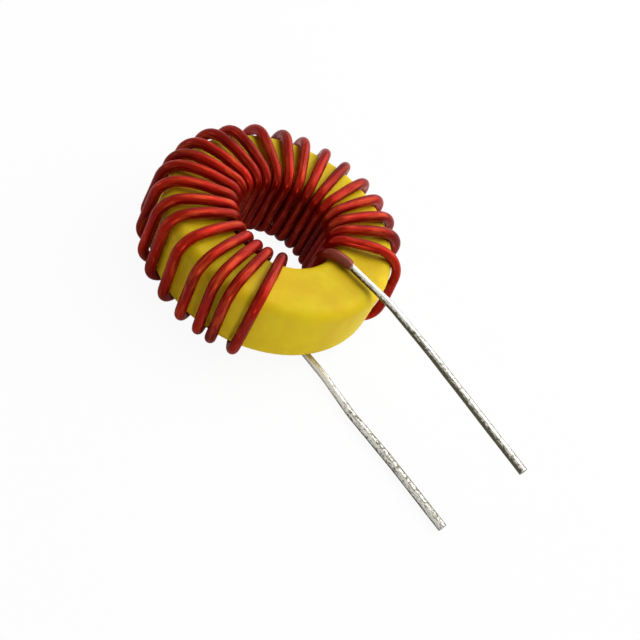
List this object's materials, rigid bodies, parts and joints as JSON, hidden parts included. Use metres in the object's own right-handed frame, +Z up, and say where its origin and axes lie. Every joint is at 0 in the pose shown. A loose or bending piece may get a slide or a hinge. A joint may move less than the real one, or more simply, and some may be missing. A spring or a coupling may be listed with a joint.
{
  "type": "inductor",
  "caption": "Ring inductor: a yellow-coated powder core wound with one layer of red enamelled wire, with two long tinned leads leaving on one side.",
  "frame": {"origin": "the ring's axis, on the surface that the wound ring lies on", "axes": "+Z up along the ring's axis, +X the way the two leads leave"},
  "size_m": [0.0346, 0.0198, 0.0073],
  "materials": {
    "core_coating": "semi-gloss yellow powder coating",
    "wire_enamel": "glossy red wire enamel over copper",
    "tinned_wire": "bright hand-dipped tin with dull grey streaks"
  },
  "bodies": {
    "root": {"core": "core_coating", "winding": "wire_enamel", "top_lead": "tinned_wire", "bottom_lead": "tinned_wire"}
  },
  "joints": []
}
